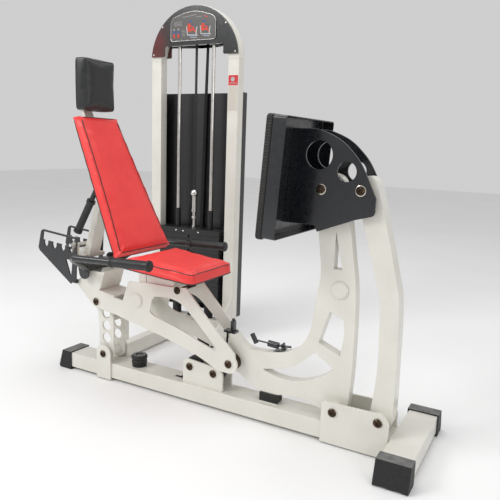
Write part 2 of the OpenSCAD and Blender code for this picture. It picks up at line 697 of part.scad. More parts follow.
cap_tube = [-304, 378];
seat_bolt = [-104, 449];
module seat_plate_outline() polygon(concat(
    [[-631, 408], [-593, 370]],
    arc_pts(link_head, 27, 215, 290, 8),
    curve_pts([[-453, 303], [-415, 300], [-335, 283], [-250, 268], [-142, 245], [-16, 211], [86, 168]], 3),
    arc_pts(nose_pivot, 36, 260, 400, 14),
    [[155, 247], [47, 347], [-58, 455], [-66, 464]],
    arc_pts(seat_bolt, 18, 40, 150, 6),
    [[-259, 456], [-298, 453], [-330, 449]],
    arc_pts([-340, 442], 8, 90, 170, 4),
    [[-376, 364], [-507, 383], [-494, 402], [-472, 470],
        [-505, 466], [-576, 466], [-592, 446], [-604, 430]]));
module seat_window() polygon(concat(
    [[-213, 408]],
    curve_pts([[-153, 413], [-118, 409], [-90, 400], [-63, 382], [-12, 338]], 4),
    [[72, 257]],
    arc_pts([69, 249], 6, 30, -100, 5),
    curve_pts([[-2, 264], [-85, 294], [-221, 329]], 4),
    [[-238, 342], [-227, 393]]));
module seat_frame() color(cream) machine() difference() {
    union() {
        side_plates(seat_plate_out, plate_t) seat_plate_outline();
        // Folded cross plate behind the notch.
        along_y(-seat_plate_out, 2 * seat_plate_out)
            polygon([[-507, 383], [-494, 402], [-472, 470], [-480, 470], [-501, 406], [-513, 388]]);
        along_y(-seat_plate_out, 2 * seat_plate_out)
            polygon([[-507, 383], [-420, 371], [-420, 377], [-504, 389]]);
    }
    side_plates(seat_plate_out + 1, plate_t + 2) seat_window();
    bar_y(cap_tube, 30, -70, 70);
    for (p = [link_head, nose_pivot]) bar_y(p, pivot_r, -70, 70);
    bar_y(seat_bolt, 8, -70, 70);
}
module seat_cross_tube() machine() capped_tube(cap_tube, seat_plate_out + 4);

module seat_bolts() color(bolt_brown) machine() {
    for (p = [link_head, nose_pivot]) pivot_bolt(p, seat_plate_out);
    pivot_bolt(seat_bolt, seat_plate_out, 8);
    // Bearing washers between the seat plates and the arm's nose.
    for (s = [-1, 1]) difference() {
        bar_y(nose_pivot, 31, s * 37.5 - 16, s * 37.5 + 16);
        bar_y(nose_pivot, pivot_r, -60, 60);
    }
}

// Seat carrier between the frame and the cushion.
seat_rear = [-287, 569];
seat_len = 316;
module seat_place() machine()
    translate([seat_rear[0], 0, seat_rear[1]]) rotate([0, seat_slope, 0]) children();
seat_thick = 44;
module seat_carrier() color(cream) {
    seat_place() block([10, -60, -seat_thick - 16], [250, 60, -seat_thick]);
    machine() {
        for (s = [-1, 1]) {
            block([-298, s * 51 - 3, 436], [-262, s * 51 + 3, 512]);
            block([-256, s * 50 - 4, 436], [-126, s * 50 + 4, 498]);
        }
    }
}
module seat_cushion() color(red) seat_place() translate([0, 0, -seat_thick]) linear_extrude(seat_thick)
    polygon(concat([[0, -168]], arc_pts([seat_len - 40, -112], 40, -80, 0, 6),
        arc_pts([seat_len - 40, 112], 40, 0, 80, 6), [[0, 168]]));

// ---------- backrest adjuster ----------

// The rack's own frame: X runs back along the slope from the front notch.
rack_at = [-637, 0, 533];
rack_in = 74;
lock_lift = 34;
module rack_place() machine() translate(rack_at) rotate([0, seat_slope, 0]) children();
module rack_notches() {
    // The open window above the teeth, and the notches below it.
    polygon([[-170, 62], [-172, 26], [22, 26], [22, 62]]);
    for (i = [0 : 3]) polygon(concat(
        [[-i * notch_pitch - 12, 27], [-i * notch_pitch - 12, 12]],
        arc_pts([-i * notch_pitch, 7], 8, 200, 340, 8),
        [[-i * notch_pitch + 12, 12], [-i * notch_pitch + 12, 27]]));
    polygon([[-32, -32], [8, -32], [4, -96], [-2, -96]]);
}
module rack_plate() difference() {
    polygon([[-172, 70], [-184, 60], [-196, -14], [-188, -26], [4, -134], [32, -110], [26, 50], [26, 70]]);
    rack_notches();
}
module adjuster_rack() color(black) rack_place() {
    along_y(-rack_in - 6, 6) rack_plate();
    along_y(rack_in, 6) rack_plate();
    // Spacer that bolts the two rack plates to the seat frame.
    for (s = [-1, 1]) block([10, s * 68 - 6, -128], [30, s * 68 + 6, -112]);
}

// Obround plates that carry the seat handles, and the tube between them.
module handle_brackets() machine() {
    color(black) for (s = [-1, 1]) along_y(s * 84 - 3, 6)
        polygon(concat(arc_pts([-561, 460], 27, 180, 360, 12), arc_pts([-569, 496], 26, 0, 180, 12)));
    color(black) block([-574, -81, 466], [-546, 81, 508]);
    color(chrome) for (s = [-1, 1]) bar_y([-573, 491], 9, s * 89 - 2, s * 89 + 2);
}
grip_end = [-83, 252, 577];
grip_root = [-440, 252, 562];
grip_rise = (grip_end[2] - grip_root[2]) / (grip_end[0] - grip_root[0]);
module handle_tubes() color(black) machine() difference() {
    for (s = [-1, 1])
        cable([[-545, s * 80, 474], [-505, s * 200, 540], [grip_root[0], s * 252, grip_root[2]],
            [grip_end[0] - 6, s * 252, grip_end[2] - 6 * grip_rise]], 13);
    block([-700, -87, 400], [-400, 87, 600]);
}
module handle_grips() color(dark) machine() for (s = [-1, 1]) {
    d = [grip_end[0] - grip_root[0], 0, grip_end[2] - grip_root[2]];
    e = [grip_end[0], s * 252, grip_end[2]];
    u = d / norm(d);
    difference() {
        union() {
            rod_between(e - 178 * u, e, 17);
            rod_between(e - 9 * u, e, 21);
            rod_between(e - 178 * u, e - 171 * u, 20);
        }
        rod_between(e - 200 * u, e - 4 * u, 13.3);
    }
}

// Carriage with the backrest's post. It runs between the two rack plates.
post_foot = [-601, 519];
post_lean = 16.7;
post_len = 415;
back_foot = [-292, 568];
module back_place() machine()
    translate([back_foot[0], 0, back_foot[1]]) rotate([0, -back_lean, 0]) children();
module back_slider() {
    color(cream) {
        machine() difference() {
            translate([post_foot[0], 0, post_foot[1]]) rotate([0, post_lean, 0])
                box_tube([-15, -30, 0], [15, 30, post_len], 2, 3);
            // Drain hole at the back of the post.
            translate([post_foot[0], 0, post_foot[1]]) rotate([0, post_lean, 0])
                translate([0, 0, 60]) rotate([0, -90, 0]) cylinder(r = 4, h = 40);
            // The post's top is cut along the board.
            translate([back_foot[0], 0, back_foot[1]]) rotate([0, -back_lean, 0])
                block([-back_thick - 8, -40, 0], [80, 40, 700]);
        }
        rack_place() {
            block([-62, -rack_in + 6, -18], [48, rack_in - 6, -4]);
            // Guides that the lock bar rises and drops between.
            for (x = [-1, 1]) for (y = [-1, 1])
                block([x * 11.5 - 2.5, y * 56 - 6, -6], [x * 11.5 + 2.5, y * 56 + 6, lock_lift + 8]);
        }
    }
    // Boards behind the cushions, and the strap that joins them.
    color(black) back_place() {
        block([-back_thick - 12, -105, 40], [-back_thick, 105, back_len - 30]);
        block([-back_thick - 24, -25, 420], [-back_thick - 11, 25, back_len + 54]);
    }
    color(black) machine() {
        block([-606, -70, head_z0 + 20], [head_back, 70, head_z1 - 20]);
        block([-630, -32, head_z0 + 4], [head_back - 4, 32, head_z0 + 44]);
    }
}

// Bar that the user drops into a rack notch to lock the carriage. It is drawn raised.
module lock_bar() color(chrome) rack_place() bar_y([0, lock_lift], 6.5, -rack_in - 16, rack_in + 16);

back_len = 601;
back_thick = 38;
module back_cushion() color(red) machine() translate([-292, 0, 568]) rotate([0, -back_lean, 0])
    along_x(-back_thick, back_thick)
        polygon([[-168, 4], [168, 4], [116, back_len - 4], [-116, back_len - 4]]);

head_back = -592;
head_front = -529;
head_half = 88;
head_bevel = 13;
head_z0 = 1116;
head_z1 = 1321;
module head_cushion() color(dark) machine() intersection() {
    along_y(-head_half, 2 * head_half) polygon([[head_back, head_z0], [head_front - head_bevel, head_z0],
        [head_front, head_z0 + head_bevel], [head_front, head_z1 - head_bevel],
        [head_front - head_bevel, head_z1], [head_back, head_z1]]);
    translate([0, 0, head_z0 - 1]) linear_extrude(head_z1 - head_z0 + 2)
        polygon([[head_back, -head_half], [head_front - head_bevel, -head_half],
            [head_front, -head_half + head_bevel], [head_front, head_half - head_bevel],
            [head_front - head_bevel, head_half], [head_back, head_half]]);
}

// Hand grip behind the backrest, for sliding it along the rack.
adjust_y = -80;
module adjust_handle() color(dark) machine() {
    rod_between([-480, adjust_y, 828], [-597, adjust_y, 630], 10);
    rod_between([-525, adjust_y, 752], [-593, adjust_y, 637], 15);
    rod_between([-519, adjust_y, 762], [-525, adjust_y, 752], 18);
    rod_between([-593, adjust_y, 637], [-599, adjust_y, 627], 18);
}

base_rail();
front_cross_tube();
foot_caps();
front_bracket();
rear_bracket();
cable_bracket();
base_pivot_bolts();
arm_stop();
bumper();
tower_strut();
tower_base_beam();
tower_foot();
tower_rubber_feet();
left_column();
right_column();
tower_arch();
front_arch_cover();
rear_arch_cover();
placard();
rear_shroud();
guide_rods();
stack_buffers();
resting_plates();
top_brackets();
top_pulley();
base_pulley();
rear_cable_pulley();
front_cable_pulley();
drive_belt();
stack_belt();
rail_cable();
head_plate();
lifted_plates();
selector_stem();
cable_coupler();
selector_pin();
press_arm();
arm_cross_tube();
arm_hardware();
arm_cable();
rear_upright();
foot_gussets();
footplate();
footplate_pad();
foot_bolts();
swing_link();
seat_frame();
seat_cross_tube();
seat_bolts();
seat_carrier();
seat_cushion();
adjuster_rack();
handle_brackets();
handle_tubes();
handle_grips();
back_slider();
lock_bar();
back_cushion();
head_cushion();
adjust_handle();
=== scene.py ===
import json
import math

import bmesh
import bpy
from mathutils import Matrix, Vector


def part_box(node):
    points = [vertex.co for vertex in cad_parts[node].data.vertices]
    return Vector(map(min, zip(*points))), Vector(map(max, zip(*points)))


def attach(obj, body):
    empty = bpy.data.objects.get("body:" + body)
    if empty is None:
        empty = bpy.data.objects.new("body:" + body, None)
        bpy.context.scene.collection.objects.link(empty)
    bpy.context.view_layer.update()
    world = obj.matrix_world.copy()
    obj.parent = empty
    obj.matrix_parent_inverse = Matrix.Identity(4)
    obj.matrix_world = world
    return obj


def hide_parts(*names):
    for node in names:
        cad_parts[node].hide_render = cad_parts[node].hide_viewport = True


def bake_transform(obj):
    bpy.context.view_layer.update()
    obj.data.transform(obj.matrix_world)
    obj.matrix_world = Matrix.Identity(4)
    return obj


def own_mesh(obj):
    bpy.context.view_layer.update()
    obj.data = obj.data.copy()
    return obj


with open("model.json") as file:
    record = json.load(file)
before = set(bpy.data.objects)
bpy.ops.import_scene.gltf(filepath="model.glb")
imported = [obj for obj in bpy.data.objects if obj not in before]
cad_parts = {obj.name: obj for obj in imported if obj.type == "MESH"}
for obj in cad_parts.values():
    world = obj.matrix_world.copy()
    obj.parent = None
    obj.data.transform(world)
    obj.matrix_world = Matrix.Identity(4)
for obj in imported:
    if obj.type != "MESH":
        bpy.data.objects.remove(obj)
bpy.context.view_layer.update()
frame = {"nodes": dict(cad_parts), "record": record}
nodes = frame["nodes"]

# ---------- places and sizes, in metres, in the row frame ----------

RAIL_Y = -0.2705
TOWER_X = -0.5795
TOWER_FRONT_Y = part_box("right_column")[0].y
COVER_FRONT_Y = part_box("front_arch_cover")[0].y
PLACARD_FRONT_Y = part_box("placard")[0].y
SEAT_SLOPE = math.radians(5)
BACK_LEAN = math.radians(25.6)

# The cushions' own frames: the seat's top is z = 0, the backrest's face is x = 0.
SEAT_FRAME = Matrix.Translation((-0.287, RAIL_Y, 0.569)) @ Matrix.Rotation(SEAT_SLOPE, 4, "Y")
BACK_FRAME = Matrix.Translation((-0.292, RAIL_Y, 0.568)) @ Matrix.Rotation(-BACK_LEAN, 4, "Y")
HEAD_FRAME = Matrix.Translation((-0.529, RAIL_Y, 1.116))

# Bolt heads: (x, z, distance of the plate's face from the rail's centre plane, body).
BOLTS = [
    (0.541, 0.120, 0.058, "base"),
    (0.698, 0.125, 0.058, "base"),
    (-0.487, 0.114, 0.058, "base"),
    (-0.058, 0.146, 0.038, "base"),
    (0.050, 0.140, 0.038, "base"),
    (-0.518, 0.338, 0.062, "seat"),
    (0.130, 0.204, 0.062, "seat"),
    (-0.104, 0.449, 0.062, "seat"),
    (0.454, 0.870, 0.054, "foot_carriage"),
    (0.587, 0.873, 0.054, "foot_carriage"),
]


# ---------- material building blocks ----------

class Shader:
    """A principled material with short helpers for its nodes."""

    def __init__(self, name, roughness=0.5, metallic=0.0, **sockets):
        self.mat = bpy.data.materials.new(name)
        self.mat.use_nodes = True
        self.tree = self.mat.node_tree
        self.bsdf = self.tree.nodes["Principled BSDF"]
        self.set("Roughness", roughness)
        self.set("Metallic", metallic)
        for socket, value in sockets.items():
            self.set(socket.replace("_", " "), value)
        self.place = self.node("ShaderNodeTexCoord").outputs["Object"]

    def set(self, socket, value):
        self.bsdf.inputs[socket].default_value = value

    def node(self, kind, **settings):
        made = self.tree.nodes.new(kind)
        for key, value in settings.items():
            setattr(made, key, value)
        return made

    def link(self, source, target):
        self.tree.links.new(source, target)

    def stretched(self, scale):
        """The object's coordinates, scaled apart along its axes."""
        made = self.node("ShaderNodeMapping")
        made.inputs["Scale"].default_value = scale
        self.link(self.place, made.inputs["Vector"])
        return made.outputs["Vector"]

    def noise(self, scale, detail=4.0, rough=0.55, place=None):
        made = self.node("ShaderNodeTexNoise")
        made.inputs["Scale"].default_value = scale
        made.inputs["Detail"].default_value = detail
        made.inputs["Roughness"].default_value = rough
        self.link(place or self.place, made.inputs["Vector"])
        return made.outputs["Fac"]

    def cells(self, scale, feature="F1"):
        made = self.node("ShaderNodeTexVoronoi", feature=feature)
        made.inputs["Scale"].default_value = scale
        self.link(self.place, made.inputs["Vector"])
        return made.outputs["Distance"]

    def wave(self, scale, axis="X", place=None):
        made = self.node("ShaderNodeTexWave", wave_type="BANDS", bands_direction=axis)
        made.inputs["Scale"].default_value = scale
        self.link(place or self.place, made.inputs["Vector"])
        return made.outputs["Fac"]

    def spread(self, value, low, high, to_low=0.0, to_high=1.0):
        made = self.node("ShaderNodeMapRange", interpolation_type="SMOOTHSTEP")
        limits = (("From Min", low), ("From Max", high), ("To Min", to_low), ("To Max", to_high))
        for socket, number in limits:
            made.inputs[socket].default_value = number
        self.link(value, made.inputs["Value"])
        return made.outputs["Result"]

    def maths(self, operation, a, b):
        made = self.node("ShaderNodeMath", operation=operation)
        for socket, value in zip(made.inputs, (a, b)):
            if isinstance(value, (int, float)):
                socket.default_value = value
            else:
                self.link(value, socket)
        return made.outputs[0]

    def mix(self, factor, a, b):
        """Colours a and b, each a tuple or a socket, mixed by factor."""
        made = self.node("ShaderNodeMix", data_type="RGBA")
        self.link(factor, made.inputs["Factor"])
        for socket, value in ((made.inputs[6], a), (made.inputs[7], b)):
            if isinstance(value, tuple):
                socket.default_value = (*value, 1)
            else:
                self.link(value, socket)
        return made.outputs[2]

    def axis(self, name):
        made = self.node("ShaderNodeSeparateXYZ")
        self.link(self.place, made.inputs[0])
        return made.outputs[name]

    def upward(self):
        """How far the surface faces up, from -1 to 1."""
        geometry = self.node("ShaderNodeNewGeometry")
        made = self.node("ShaderNodeSeparateXYZ")
        self.link(geometry.outputs["Normal"], made.inputs[0])
        return made.outputs["Z"]

    def paint(self, colour):
        self.link(colour, self.bsdf.inputs["Base Color"])

    def rough(self, value, low, high):
        self.link(self.spread(value, 0.3, 0.7, low, high), self.bsdf.inputs["Roughness"])

    def bump(self, height, depth, below=None):
        made = self.node("ShaderNodeBump")
        made.inputs["Strength"].default_value = 1.0
        made.inputs["Distance"].default_value = depth
        self.link(height, made.inputs["Height"])
        if below is not None:
            self.link(below, made.inputs["Normal"])
        self.link(made.outputs["Normal"], self.bsdf.inputs["Normal"])
        return made.outputs["Normal"]


def powder_coat(name, colour, shade, roughness, peel=0.00006):
    """Powder coat: a faint orange peel and clouds in its colour."""
    s = Shader(name, Coat_Weight=0.35, Coat_Roughness=0.12)
    clouds = s.noise(7.0, 5.0)
    s.paint(s.mix(s.spread(clouds, 0.35, 0.68), colour, shade))
    s.rough(s.noise(55.0, 3.0), roughness - 0.05, roughness + 0.08)
    s.bump(s.noise(420.0, 2.0), peel)
    return s.mat


def rubber(name, colour, top_sheen_colour, ribs=None):
    """Matt rubber with a fine grain, paler where it faces up: a painted reflection of the light from above,
    broken into blotches.
    """
    s = Shader(name, Specular_IOR_Level=0.45)
    # Painted sheen: faces that point up are mixed toward the pale colour, as if lit from above.
    top = s.spread(s.upward(), 0.7, 0.98)
    blotched_top_sheen = s.maths("MULTIPLY", top, s.spread(s.noise(30.0, 6.0), 0.25, 0.62, 0.55, 1.0))
    s.paint(s.mix(blotched_top_sheen, colour, top_sheen_colour))
    s.rough(s.noise(90.0), 0.5, 0.72)
    grain = s.bump(s.noise(900.0, 3.0), 0.00012)
    if ribs:
        s.bump(s.wave(ribs[0], ribs[1]), 0.0008, grain)
    return s.mat


def moulded(name, colour, shade, roughness, coat=0.0):
    s = Shader(name, Coat_Weight=coat, Coat_Roughness=0.06)
    s.paint(s.mix(s.spread(s.noise(18.0, 4.0), 0.35, 0.65), colour, shade))
    s.rough(s.noise(140.0, 3.0), roughness, roughness + 0.09)
    s.bump(s.noise(700.0, 2.0), 0.00004)
    return s.mat


def cover_plastic():
    """The tower's cover: gloss black that fades to dark red on its left lobe."""
    s = Shader("cover_gloss", Coat_Weight=0.8, Coat_Roughness=0.05)
    left = s.spread(s.axis("X"), TOWER_X - 0.225, TOWER_X - 0.125, 1.0, 0.0)
    low = s.spread(s.axis("Z"), 1.50, 1.66, 1.0, 0.0)
    red = s.mix(s.spread(s.noise(14.0), 0.3, 0.7), (0.115, 0.010, 0.009), (0.085, 0.008, 0.007))
    black = s.mix(s.spread(s.noise(20.0), 0.3, 0.7), (0.008, 0.009, 0.010), (0.013, 0.014, 0.016))
    s.paint(s.mix(s.maths("MULTIPLY", left, low), black, red))
    s.rough(s.noise(160.0), 0.14, 0.24)
    s.bump(s.noise(240.0, 2.0), 0.00003)
    return s.mat


def polished_metal(name, colour, shade, roughness, along=(1.0, 1.0, 0.04)):
    """Ground and polished metal: fine streaks along the part."""
    s = Shader(name, metallic=1.0)
    streaks = s.noise(900.0, 4.0, place=s.stretched(along))
    s.paint(s.mix(s.spread(s.noise(26.0, 3.0), 0.3, 0.7), colour, shade))
    s.rough(streaks, roughness, roughness + 0.12)
    s.bump(streaks, 0.00001)
    return s.mat


def bronzed_steel():
    """Blackened bolts, rubbed bright here and there."""
    s = Shader("bronzed_steel", metallic=1.0)
    rubbed = s.spread(s.noise(160.0, 5.0), 0.56, 0.72)
    s.paint(s.mix(rubbed, (0.055, 0.038, 0.026), (0.20, 0.14, 0.09)))
    s.rough(s.noise(220.0), 0.28, 0.46)
    s.bump(s.noise(500.0, 3.0), 0.00005)
    return s.mat


def iron_plate():
    """Black painted iron, with the slight roll of a casting."""
    s = Shader("stack_iron", Specular_IOR_Level=0.5)
    chips = s.spread(s.noise(140.0, 6.0), 0.66, 0.74)
    s.paint(s.mix(chips, (0.011, 0.011, 0.012), (0.05, 0.05, 0.052)))
    s.rough(s.noise(60.0), 0.34, 0.5)
    s.bump(s.noise(180.0, 5.0), 0.0002)
    return s.mat


def vinyl(name, colour, shade, roughness, sheen=0.0):
    """Upholstery vinyl: pebbled grain, slow changes of colour, worn smoother in patches."""
    s = Shader(name, Coat_Weight=0.12, Coat_Roughness=0.3, Sheen_Weight=sheen)
    s.paint(s.mix(s.spread(s.noise(9.0, 5.0), 0.32, 0.68), colour, shade))
    s.rough(s.noise(24.0), roughness - 0.06, roughness + 0.08)
    pebbles = s.bump(s.cells(620.0), 0.00022)
    s.bump(s.noise(60.0, 4.0), 0.0004, pebbles)
    return s.mat


def belt_weave():
    """Black belt: a twill of two crossed waves."""
    s = Shader("belt_weave", roughness=0.6)
    warp = s.wave(260.0, "Z")
    weft = s.wave(300.0, "DIAGONAL")
    weave = s.maths("MULTIPLY", warp, weft)
    s.paint(s.mix(weave, (0.006, 0.006, 0.007), (0.022, 0.022, 0.024)))
    s.rough(s.noise(80.0), 0.5, 0.68)
    s.bump(weave, 0.0003)
    return s.mat


def placard_print():
    """Printed plate: grey brushed ground."""
    s = Shader("placard_print", Coat_Weight=0.25, Coat_Roughness=0.15)
    fine = s.noise(300.0, 3.0, place=s.stretched((0.05, 1.0, 1.0)))
    s.paint(s.mix(s.spread(fine, 0.3, 0.7), (0.062, 0.057, 0.053), (0.085, 0.080, 0.075)))
    s.rough(s.noise(120.0), 0.35, 0.48)
    s.bump(fine, 0.00003)
    return s.mat


def ink(name, colour, shade):
    s = Shader(name, Specular_IOR_Level=0.3)
    s.paint(s.mix(s.spread(s.noise(500.0, 3.0), 0.35, 0.65), colour, shade))
    s.rough(s.noise(300.0), 0.4, 0.55)
    s.bump(s.noise(800.0, 2.0), 0.00002)
    return s.mat


CREAM = powder_coat("cream_powder_coat", (0.72, 0.705, 0.64), (0.675, 0.66, 0.595), 0.34)
BLACK_COAT = powder_coat("black_powder_coat", (0.0075, 0.0085, 0.011), (0.012, 0.013, 0.016), 0.26)
SHROUD = powder_coat("shroud_black", (0.004, 0.004, 0.005), (0.007, 0.007, 0.008), 0.42)
# The third colour given to rubber() is a painted sheen on its up-facing faces.
RUBBER = rubber("black_rubber", (0.012, 0.012, 0.012), (0.17, 0.17, 0.165))
PAD_RUBBER = rubber("pad_rubber", (0.014, 0.013, 0.012), (0.05, 0.05, 0.05), ribs=(34.0, "Z"))
GRIP = moulded("grip_foam", (0.010, 0.011, 0.012), (0.017, 0.018, 0.020), 0.4)
COVER = cover_plastic()
PULLEY = moulded("pulley_nylon", (0.03, 0.03, 0.032), (0.045, 0.045, 0.048), 0.38)
CHROME = polished_metal("chrome", (0.78, 0.76, 0.73), (0.68, 0.66, 0.63), 0.10)
BRIGHT = polished_metal("bright_rim", (0.70, 0.66, 0.60), (0.58, 0.54, 0.48), 0.16, (1.0, 1.0, 1.0))
BOLT = bronzed_steel()
IRON = iron_plate()
RED = vinyl("red_vinyl", (0.86, 0.050, 0.045), (0.80, 0.038, 0.036), 0.42)
BLACK_VINYL = vinyl("black_vinyl", (0.012, 0.013, 0.013), (0.018, 0.019, 0.019), 0.42)
WEAVE = belt_weave()
CABLE = moulded("cable_jacket", (0.010, 0.010, 0.011), (0.018, 0.018, 0.02), 0.3)
PRINT = placard_print()
KNOB = moulded("knob_red", (0.55, 0.012, 0.012), (0.48, 0.010, 0.010), 0.2, 0.5)
INK_RED = ink("ink_red", (0.62, 0.06, 0.03), (0.55, 0.05, 0.03))
INK_BLUE = ink("ink_blue", (0.035, 0.09, 0.22), (0.045, 0.11, 0.26))
INK_PALE = ink("ink_pale", (0.48, 0.48, 0.47), (0.40, 0.40, 0.39))
LABEL_RED = ink("label_red", (0.62, 0.035, 0.045), (0.56, 0.030, 0.040))
LABEL_BEIGE = ink("label_beige", (0.60, 0.565, 0.50), (0.56, 0.53, 0.47))

FINISH = {
    "cream_paint": CREAM, "black_paint": BLACK_COAT, "black_rubber": RUBBER, "grip_rubber": GRIP,
    "black_plastic": COVER, "pulley_plastic": PULLEY, "chrome": CHROME, "bolt_steel": BOLT,
    "stack_iron": IRON, "red_vinyl": RED, "black_vinyl": BLACK_VINYL, "belt": WEAVE, "cable": CABLE,
    "placard": PRINT, "red_knob": KNOB,
}
OWN_FINISH = {"rear_shroud": SHROUD, "footplate_pad": PAD_RUBBER, "cable_coupler": CHROME}


# ---------- finish and edges of the frame's own parts ----------

def shading_by_angle():
    """A node group that welds the surface and shades it smooth, except at edges sharper than 35 degrees."""
    group = bpy.data.node_groups.new("smooth_by_angle", "GeometryNodeTree")
    group.interface.new_socket("Geometry", in_out="INPUT", socket_type="NodeSocketGeometry")
    group.interface.new_socket("Geometry", in_out="OUTPUT", socket_type="NodeSocketGeometry")
    start = group.nodes.new("NodeGroupInput")
    end = group.nodes.new("NodeGroupOutput")
    weld = group.nodes.new("GeometryNodeMergeByDistance")
    weld.inputs["Distance"].default_value = 0.00001
    faces = group.nodes.new("GeometryNodeSetShadeSmooth")
    edges = group.nodes.new("GeometryNodeSetShadeSmooth")
    edges.domain = "EDGE"
    edges.inputs["Shade Smooth"].default_value = False
    angle = group.nodes.new("GeometryNodeInputMeshEdgeAngle")
    sharp = group.nodes.new("ShaderNodeMath")
    sharp.operation = "GREATER_THAN"
    sharp.inputs[1].default_value = math.radians(35)
    group.links.new(start.outputs[0], weld.inputs["Geometry"])
    group.links.new(weld.outputs[0], faces.inputs["Geometry"])
    group.links.new(faces.outputs[0], edges.inputs["Geometry"])
    group.links.new(angle.outputs["Unsigned Angle"], sharp.inputs[0])
    group.links.new(sharp.outputs[0], edges.inputs["Selection"])
    group.links.new(edges.outputs[0], end.inputs[0])
    return group


SMOOTH = shading_by_angle()


def smooth_shading(obj):
    obj.modifiers.new("smooth", "NODES").node_group = SMOOTH


def round_edges(obj, width):
    """Flat faces are made whole again, then every sharp edge gets a small radius."""
    whole = obj.modifiers.new("whole_faces", "DECIMATE")
    whole.decimate_type = "DISSOLVE"
    whole.angle_limit = math.radians(0.6)
    bevel = obj.modifiers.new("edge_radius", "BEVEL")
    bevel.width = width
    bevel.segments = 3
    bevel.limit_method = "ANGLE"
    bevel.angle_limit = math.radians(38)
    bevel.harden_normals = True


EDGE_RADIUS = {
    "base_rail": 0.006, "front_cross_tube": 0.007, "tower_strut": 0.005, "tower_base_beam": 0.005,
    "tower_foot": 0.004, "left_column": 0.006, "right_column": 0.006, "tower_arch": 0.006,
    "press_arm": 0.003, "rear_upright": 0.005, "footplate_pad": 0.006, "footplate": 0.0025,
    "foot_caps": 0.005, "front_arch_cover": 0.003, "rear_arch_cover": 0.003, "arm_stop": 0.003,
    "back_slider": 0.002, "rear_shroud": 0.0008, "placard": 0.001, "seat_frame": 0.0012,
}
NOT_ROUNDED = {
    "drive_belt", "stack_belt", "rail_cable", "arm_cable", "guide_rods", "handle_tubes", "cable_coupler",
}
slot_of = {part["node"]: part["material_slot"] for part in frame["record"]["subparts"]}
for name, part in nodes.items():
    part.data.materials.clear()
    part.data.materials.append(OWN_FINISH.get(name, FINISH[slot_of[name]]))
    smooth_shading(part)
    if name not in NOT_ROUNDED:
        round_edges(part, EDGE_RADIUS.get(name, 0.0009))


# ---------- mesh helpers ----------

def new_piece(name, mesh, material, body, place=Matrix.Identity(4)):
    piece = bpy.data.objects.new(name, mesh)
    bpy.context.scene.collection.objects.link(piece)
    piece.matrix_world = place
    if material is not None:
        mesh.materials.append(material)
    if body:
        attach(piece, body)
    return piece


def mesh_from(name, work):
    mesh = bpy.data.meshes.new(name)
    bmesh.ops.recalc_face_normals(work, faces=work.faces)
    work.to_mesh(mesh)
    work.free()
    return mesh


def turned(work, profile, place, steps=48):
    """Turns a profile of (radius, height) about the local Z of place."""
    rings = []
    for radius, height in profile:
        ring = []
        for i in range(steps):
            a = 2 * math.pi * i / steps
            ring.append(work.verts.new(place @ Vector((radius * math.cos(a), radius * math.sin(a), height))))
        rings.append(ring)
    for low, high in zip(rings, rings[1:]):
        for i in range(steps):
            work.faces.new((low[i], low[(i + 1) % steps], high[(i + 1) % steps], high[i]))
    work.faces.new(rings[0])
    work.faces.new(rings[-1])


def closed_ring(work, profile, place, steps=48):
    """Turns a closed profile of (radius, height), so that the piece has a hole."""
    rings = []
    for radius, height in profile:
        angles = [2 * math.pi * i / steps for i in range(steps)]
        rings.append([work.verts.new(place @ Vector((radius * math.cos(a), radius * math.sin(a), height)))
                      for a in angles])
    for low, high in zip(rings, rings[1:] + rings[:1]):
        for i in range(steps):
            work.faces.new((low[i], low[(i + 1) % steps], high[(i + 1) % steps], high[i]))


def facing(point, direction):
    """A placement at point whose Z points along direction."""
    turn = Vector((0, 0, 1)).rotation_difference(Vector(direction))
    return Matrix.Translation(point) @ turn.to_matrix().to_4x4()


def tube(name, points, radius, material, body=None, closed=False):
    """A round tube along points, as a mesh."""
    curve = bpy.data.curves.new(name, "CURVE")
    curve.dimensions = "3D"
    curve.bevel_depth = radius
    curve.bevel_resolution = 3
    curve.use_fill_caps = True
    line = curve.splines.new("POLY")
    line.points.add(len(points) - 1)
    for spot, point in zip(line.points, points):
        spot.co = (*point, 1)
    line.use_cyclic_u = closed
    holder = bpy.data.objects.new(name + "_line", curve)
    bpy.context.scene.collection.objects.link(holder)
    mesh = bpy.data.meshes.new_from_object(holder.evaluated_get(bpy.context.evaluated_depsgraph_get()))
    bpy.data.objects.remove(holder)
    mesh.name = name
    mesh.materials.clear()
    mesh.shade_smooth()
    return new_piece(name, mesh, material, body)


# ---------- cushions ----------

WELT_STEP = 2 * math.pi / 220

